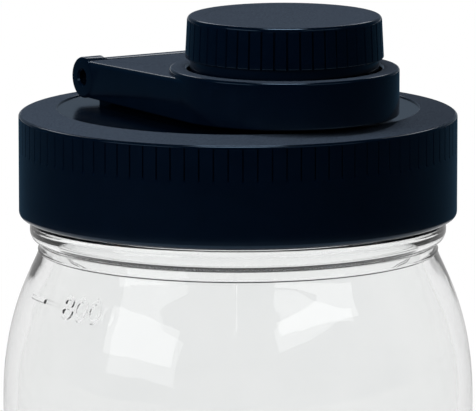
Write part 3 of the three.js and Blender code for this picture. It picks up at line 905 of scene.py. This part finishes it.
def cap_collar():
    """The plate, hollow underneath, with its collar ring, two end knuckles and a slot between them."""
    clear_radius = LUG_RADIUS + LUG_CLEARANCE
    slot_half = lug_half + KNUCKLE_GAP
    plate = rounded_plate()
    hollow = block(
        "hollow",
        (PLATE_WALL - collar_radius, spout_y, plate_bottom - OVERLAP),
        (collar_radius - PLATE_WALL, hinge_y - clear_radius - PLATE_WALL, plate_top - PLATE_WALL),
    )
    core_radius = collar_radius - OVERLAP
    core_ends = [(core_radius, plate_bottom - 2 * OVERLAP), (core_radius, plate_top + 2 * OVERLAP)]
    combine(hollow, revolved("core", core_ends, ROUND_COLUMNS, spout_y), "DIFFERENCE")
    combine(plate, hollow, "DIFFERENCE")
    combine(plate, collar_bore(), "DIFFERENCE")
    combine(plate, collar_ring(), "UNION")
    knuckle_ends = rod_outline(collar_radius + SLIVER, KNUCKLE_RADIUS, KNUCKLE_ROUND)
    combine(plate, hinge_rod("knuckles", knuckle_ends), "UNION")
    slot_back = block(
        "slot_back",
        (-slot_half, hinge_y - clear_radius, plate_bottom - OVERLAP),
        (slot_half, hinge_y + 2 * KNUCKLE_RADIUS, hinge_z),
    )
    combine(plate, slot_back, "DIFFERENCE")
    combine(plate, hinge_rod("slot", [(-slot_half, clear_radius), (slot_half, clear_radius)]), "DIFFERENCE")
    combine(plate, pin_hole(), "DIFFERENCE")
    return plate


# Ribbed cap
def pour_cap():
    """The cap in one skin: top, ribbed side and neck with its groove, then up the threaded inside."""
    groove_half = CAP_GROOVE_HALF / cap_head_radius
    angles = ribbed_angles(CAP_RIBS, groove_half)
    grooves = CAP_GROOVE_DEPTH * groove_share(angles, CAP_RIBS, groove_half)
    edge = cap_head_radius - CAP_HEAD_TAPER - CAP_EDGE_ROUND
    rings = []

    def plain(outline):
        rings.extend(ring(angles, radius, height, spout_y) for radius, height in outline)

    recess = head_top - CAP_TOP_RECESS
    plain([(radius, recess) for radius in (*CAP_MIDDLE_RADII, CAP_RECESS_RADIUS)])
    for share in (0.25, 0.5, 0.75, 1):
        plain([(CAP_RECESS_RADIUS + CAP_RECESS_RAMP * share, recess + CAP_TOP_RECESS * ease(share))])
    round_start = head_top - CAP_EDGE_ROUND
    plain(arc((edge, round_start), CAP_EDGE_ROUND, 90, 0, steps=12))
    start_band = [(round_start - CAP_GROOVE_START, round_start)]
    rows = graded(head_bottom + CAP_FOOT_ROUND, round_start, CAP_ROW, GROOVE_ROW, start_band)
    for height in reversed(rows[:-1]):
        radius = cap_head_radius - CAP_HEAD_TAPER * (height - head_bottom) / CAP_HEAD_HEIGHT
        cut = grooves * ease((round_start - height) / CAP_GROOVE_START)
        rings.append(ring(angles, radius - cut, height, spout_y))
    foot_middle = (cap_head_radius - CAP_FOOT_ROUND, head_bottom + CAP_FOOT_ROUND)
    foot = arc(foot_middle, CAP_FOOT_ROUND, 0, -90, steps=4)
    for radius, height in foot[1:]:
        rings.append(ring(angles, radius - grooves, height, spout_y))

    groove = cap_neck_radius - RETAINER_GROOVE
    groove_top = retainer_high[2] + RETAINER_GAP / 2
    groove_bottom = retainer_low[2] - RETAINER_GAP / 2
    plain([(cap_neck_radius, head_bottom), (cap_neck_radius, groove_top), (groove, groove_top)])
    plain([(groove, groove_bottom), (cap_neck_radius, groove_bottom)])
    plain([(cap_neck_radius, cap_low[2] + OVERLAP), (cap_neck_radius - OVERLAP, cap_low[2])])
    plain([(cap_inner + OVERLAP, cap_low[2]), (cap_inner, cap_low[2] + OVERLAP)])
    start = spout_thread_start + CAP_PITCH / 2
    depth = cap_inner - spout_radius - CAP_THREAD_CLEARANCE
    band = [(start - CAP_THREAD_WIDTH, start + CAP_PITCH + CAP_THREAD_WIDTH)]
    rows = graded(cap_low[2] + 2 * OVERLAP, cap_ceiling - OVERLAP, SPOUT_ROW, SPOUT_THREAD_ROW, band)
    for height in rows:
        rise = thread_rise(angles, height, start, CAP_PITCH, CAP_THREAD_TURNS, CAP_THREAD_WIDTH)
        rings.append(ring(angles, cap_inner - depth * rise, height, spout_y))
    plain([(radius, cap_ceiling) for radius in (cap_inner - OVERLAP, *reversed(CAP_MIDDLE_RADII))])
    return skin("cap_shell", rings)


def cap_retainer():
    """The ring that snaps into the groove of the cap's neck."""
    inner = cap_neck_radius - RETAINER_GROOVE + SEAL_GAP
    outer, bottom, top = retainer_high[0], retainer_low[2], retainer_high[2]
    outline = [(inner, bottom)]
    outline += arc((outer - RETAINER_ROUND, bottom + RETAINER_ROUND), RETAINER_ROUND, -90, 0, steps=4)
    outline += arc((outer - RETAINER_ROUND, top - RETAINER_ROUND), RETAINER_ROUND, 0, 90, steps=4)
    outline += [(inner, top)]
    return revolved("cap_ring", outline, ROUND_COLUMNS, spout_y, looped=True)


# Studio: floor, lights, world and camera
FLOOR_RADIUS = 0.65
FLOOR_FADE = 0.3
FLOOR_DEPTH = 0.002
FLOOR_COLOUR = (0.5, 0.5, 0.5, 1)
FLOOR_GLOW = 0.57
SURROUND_RADIUS = 8.0
SURROUND_DROP = 0.01
SURROUND_COLOUR = (0.02, 0.02, 0.022, 1)
SURROUND_GLOW = (0.0155, 0.047, 0.082)
SHARP_GLOW = (0.5, 0.5, 0.5)
WORLD_COLOUR = (0.12, 0.12, 0.12, 1)
SHARP_BACKDROP = (-0.2, 0.2)
SOFT_BACKDROP = (-0.92, -0.6)
CEILING_START = 1
CEILING_COLOUR = (0.02, 0.06, 0.11, 1)
BEHIND_COLOUR = (0.13, 0.17, 0.22, 1)
FLOOR_COLUMNS = 128
SURROUND_COLUMNS = 64

# Softboxes; the fill is too strong and low to be seen in the glass, so it only lights
LIGHTS = {
    "top_light": {"azimuth": -31, "elevation": 84, "distance": 1.5, "size": (0.62, 0.62), "radiance": 11.0},
    "back_light": {"azimuth": 149, "elevation": 34, "distance": 1.5, "size": (1.2, 0.3), "radiance": 2.5},
    "left_light": {"azimuth": -84, "elevation": 20, "distance": 1.3, "size": (0.9, 0.38), "radiance": 1.7},
    "right_light": {"azimuth": 15, "elevation": 30, "distance": 1.3, "size": (1.0, 0.16), "radiance": 2.0},
    "fill_light": {"azimuth": -85, "elevation": 22, "distance": 1.5, "size": (0.6, 0.6), "radiance": 20.0,
                   "mirrored": False},
}


def direction(azimuth, elevation):
    """Unit vector from the object towards a place in the studio; azimuth 0 lies in front, towards -Y."""
    turn, lift = math.radians(azimuth), math.radians(elevation)
    return Vector((math.sin(turn) * math.cos(lift), -math.cos(turn) * math.cos(lift), math.sin(lift)))


def aim(thing, azimuth, elevation, distance, target):
    """Places a lamp or camera so that it faces the target."""
    away = direction(azimuth, elevation)
    thing.location = target + away * distance
    thing.rotation_mode = "QUATERNION"
    thing.rotation_quaternion = away.to_track_quat("Z", "Y")


def softbox(name, azimuth, elevation, distance, size, radiance, mirrored=True):
    """A soft rectangular lamp, which shows in reflections and through glass only if it is mirrored."""
    lamp = bpy.data.lights.new(name, "AREA")
    lamp.shape = "RECTANGLE"
    lamp.size, lamp.size_y = size
    lamp.energy = radiance * math.pi * lamp.size * lamp.size_y
    thing = bpy.data.objects.new(name, lamp)
    bpy.context.scene.collection.objects.link(thing)
    thing.visible_glossy = mirrored
    thing.visible_transmission = mirrored
    aim(thing, azimuth, elevation, distance, target)


def any_ray(tree, *kinds):
    """1 for rays of any of the kinds named."""
    path = tree.nodes.new("ShaderNodeLightPath")
    total = path.outputs[kinds[0]]
    for kind in kinds[1:]:
        larger = tree.nodes.new("ShaderNodeMath")
        larger.operation = "MAXIMUM"
        tree.links.new(total, larger.inputs[0])
        tree.links.new(path.outputs[kind], larger.inputs[1])
        total = larger.outputs["Value"]
    return total


def pale_floor():
    """A round patch of pale floor that takes the shadow and fades into the white studio."""
    reach = FLOOR_RADIUS / MM
    floor = revolved("floor", [(reach, -FLOOR_DEPTH / MM), (reach, 0)], FLOOR_COLUMNS)
    material, shader = shader_of("pale_floor")
    nodes, links = material.node_tree.nodes, material.node_tree.links
    shader.inputs["Base Color"].default_value = FLOOR_COLOUR
    shader.inputs["Roughness"].default_value = 1.0
    shader.inputs["Specular IOR Level"].default_value = 0.0
    shader.inputs["Emission Color"].default_value = (1, 1, 1, 1)
    seen = any_ray(material.node_tree, "Is Camera Ray", "Is Glossy Ray", "Is Transmission Ray")
    value_by(material, seen, 0.0, FLOOR_GLOW, shader.inputs["Emission Strength"])
    place = nodes.new("ShaderNodeTexCoord")
    away = nodes.new("ShaderNodeVectorMath")
    away.operation = "LENGTH"
    links.new(place.outputs["Object"], away.inputs[0])
    fade = nodes.new("ShaderNodeMapRange")
    fade.interpolation_type = "SMOOTHSTEP"
    fade.inputs["From Min"].default_value = FLOOR_FADE
    fade.inputs["From Max"].default_value = FLOOR_RADIUS
    fade.inputs["To Min"].default_value = 1.0
    fade.inputs["To Max"].default_value = 0.0
    links.new(away.outputs["Value"], fade.inputs["Value"])
    links.new(fade.outputs["Result"], shader.inputs["Alpha"])
    floor.data.materials.append(material)


def dark_surround():
    """The dim studio ground beyond the pale floor, which only shows in reflections."""
    reach, level = SURROUND_RADIUS / MM, -SURROUND_DROP / MM
    ground = revolved("surround", [(reach, level - FLOOR_DEPTH / MM), (reach, level)], SURROUND_COLUMNS)
    material, shader = shader_of("dark_surround")
    shader.inputs["Base Color"].default_value = SURROUND_COLOUR
    sharp = any_ray(material.node_tree, "Is Singular Ray")
    colour_by(material, sharp, SURROUND_GLOW, SHARP_GLOW, shader.inputs["Emission Color"])
    shader.inputs["Emission Strength"].default_value = 1.0
    shader.inputs["Roughness"].default_value = 1.0
    shader.inputs["Specular IOR Level"].default_value = 0.0
    ground.data.materials.append(material)
    ground.visible_camera = False
    ground.visible_transmission = False


def white_world():
    """A low even light, which is white where it is seen.

    Mirrored, it is a dim studio with a grey backdrop behind the object: a narrow one for soft reflections,
    as in the plastic, and a wide, lighter one for sharp reflections, as in the glass.
    """
    world = bpy.data.worlds.new("studio")
    world.use_nodes = True
    bpy.context.scene.world = world
    nodes, links = world.node_tree.nodes, world.node_tree.links

    def background(colour):
        shader = nodes.new("ShaderNodeBackground")
        shader.inputs["Color"].default_value = colour
        return shader.outputs["Background"]

    def choose(share, usual, special):
        mix = nodes.new("ShaderNodeMixShader")
        links.new(share, mix.inputs["Fac"])
        links.new(usual, mix.inputs[1])
        links.new(special, mix.inputs[2])
        return mix.outputs["Shader"]

    def share_of(value, start, end):
        spread = nodes.new("ShaderNodeMapRange")
        spread.interpolation_type = "SMOOTHSTEP"
        spread.inputs["From Min"].default_value = start
        spread.inputs["From Max"].default_value = end
        links.new(value, spread.inputs["Value"])
        return spread.outputs["Result"]

    def along(axis):
        part = nodes.new("ShaderNodeVectorMath")
        part.operation = "DOT_PRODUCT"
        part.inputs[1].default_value = axis
        links.new(place.outputs["Generated"], part.inputs[0])
        return part.outputs["Value"]

    place = nodes.new("ShaderNodeTexCoord")
    dim = background(CEILING_COLOUR)
    white = background((1, 1, 1, 1))
    above = share_of(along((0, 0, 1)), 0, math.sin(math.radians(CEILING_START)))
    forward = along(direction(CAMERA_AZIMUTH, 0))
    behind = choose(above, white, background(BEHIND_COLOUR))
    soft = choose(share_of(forward, *SOFT_BACKDROP), behind, dim)
    sharp = choose(share_of(forward, *SHARP_BACKDROP), background((*SHARP_GLOW, 1)), dim)
    mirrored = choose(any_ray(world.node_tree, "Is Singular Ray"), soft, sharp)
    lit = choose(any_ray(world.node_tree, "Is Glossy Ray"), background(WORLD_COLOUR), mirrored)
    seen = any_ray(world.node_tree, "Is Camera Ray", "Is Transmission Ray")
    links.new(choose(seen, lit, white), nodes["World Output"].inputs["Surface"])


def photo_camera():
    data = bpy.data.cameras.new("camera")
    data.sensor_width = SENSOR_WIDTH
    data.lens = FOCAL_PIXELS / PHOTO_WIDTH * SENSOR_WIDTH
    data.clip_end = CAMERA_CLIP_END
    camera = bpy.data.objects.new("camera", data)
    bpy.context.scene.collection.objects.link(camera)
    aim(camera, CAMERA_AZIMUTH, CAMERA_ELEVATION, CAMERA_DISTANCE * MM, target)
    bpy.context.scene.camera = camera


target = Vector((0, 0, (lid_edge - CAMERA_AIM_DROP) * MM))
photo_camera()
pale_floor()
dark_surround()
white_world()
for name, light in LIGHTS.items():
    softbox(name, **light)
bpy.context.scene.view_settings.view_transform = "Standard"

glass = clear_glass()
plastic = black_plastic()
# A copy of the plastic painted lighter as top light, with its grain, for level faces
lit_top_grained = grained_lit_top_plastic()
silicone = white_silicone()
steel = drawn_steel()
dress(glass_jar(), glass, "jar", "glass", "glass_jar")
dress(lid_gasket(), silicone, "lid_seal", "silicone", "lid_gasket")
lid = screw_lid()
dress(lid, plastic, "lid", "black_plastic", "screw_lid")
paint_grain_and_top_light(lid, lit_top_grained, lambda spot: spot.xy.length > LID_DECK_RADIUS and spot.z > lid_edge - OVERLAP)
knuckle = hinge_knuckle()
dress(knuckle, plastic, "lid", "black_plastic")
paint_grain_and_top_light(knuckle, lit_top_grained, lambda spot: spot.z > hinge_z)
dress(hinge_pin(), steel, "collar", "steel", "hinge_pin")
collar = cap_collar()
dress(collar, plastic, "collar", "black_plastic", "cap_collar")
paint_grain_and_top_light(collar, lit_top_grained, lambda spot: spot.z > plate_top - OVERLAP)
cap = pour_cap()
dress(cap, plastic, "cap", "black_plastic", "pour_cap")
paint_grain_and_top_light(cap, lit_top_grained, lambda spot: spot.z > head_top - CAP_EDGE_ROUND)
dress(cap_retainer(), plastic, "cap", "black_plastic", "cap_retainer")
dress(cap_liner(), silicone, "cap_seal", "silicone", "cap_liner")
